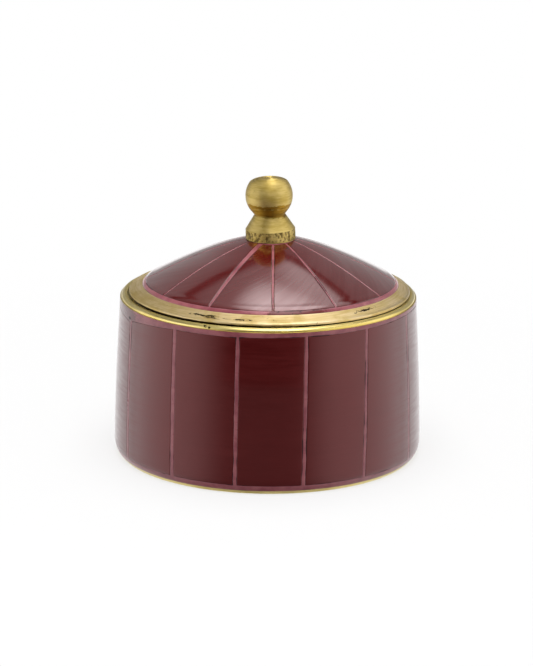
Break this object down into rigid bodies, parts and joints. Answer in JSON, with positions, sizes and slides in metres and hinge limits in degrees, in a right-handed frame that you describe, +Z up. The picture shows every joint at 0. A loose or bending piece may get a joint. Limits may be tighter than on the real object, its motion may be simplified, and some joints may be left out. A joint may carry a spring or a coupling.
{
  "type": "lidded box",
  "caption": "Round trinket box in turned brass with flush enamel fields parted by thin lines, a drop-in domed lid with a flange, and a ball knob.",
  "frame": {"origin": "centre of the foot, on the surface that the box stands on", "axes": "+Z up along the turning axis, through the knob; -Y is the front; +X is to the right seen from the front"},
  "size_m": [0.1, 0.1, 0.0904],
  "materials": {
    "brass": "lathe-brushed, polished on the rounded edges",
    "burgundy_enamel": "glossy translucent lacquer enamel over brushed metal",
    "pink_enamel": "glossy opaque enamel",
    "steel": "plain zinc-plated fastener"
  },
  "bodies": {
    "box": {"box_shell": "brass", "box_line_inlay": "pink_enamel", "box_panel_01": "burgundy_enamel", "box_panel_02": "burgundy_enamel", "box_panel_03": "burgundy_enamel", "box_panel_04": "burgundy_enamel", "box_panel_05": "burgundy_enamel", "box_panel_06": "burgundy_enamel", "box_panel_07": "burgundy_enamel", "box_panel_08": "burgundy_enamel", "box_panel_09": "burgundy_enamel", "box_panel_10": "burgundy_enamel", "box_panel_11": "burgundy_enamel", "box_panel_12": "burgundy_enamel", "box_panel_13": "burgundy_enamel", "box_panel_14": "burgundy_enamel"},
    "lid": {"lid_shell": "brass", "lid_line_inlay": "pink_enamel", "lid_panel_01": "burgundy_enamel", "lid_panel_02": "burgundy_enamel", "lid_panel_03": "burgundy_enamel", "lid_panel_04": "burgundy_enamel", "lid_panel_05": "burgundy_enamel", "lid_panel_06": "burgundy_enamel", "lid_panel_07": "burgundy_enamel", "lid_panel_08": "burgundy_enamel", "lid_panel_09": "burgundy_enamel", "lid_panel_10": "burgundy_enamel", "lid_panel_11": "burgundy_enamel", "lid_panel_12": "burgundy_enamel", "knob": "brass", "knob_screw": "steel", "knob_washer": "steel"}
  },
  "joints": [
    {"name": "lid_lift", "type": "slide", "parent": "box", "child": "lid", "axis": [0, 0, 1], "range_m": [0, 0.08]}
  ]
}
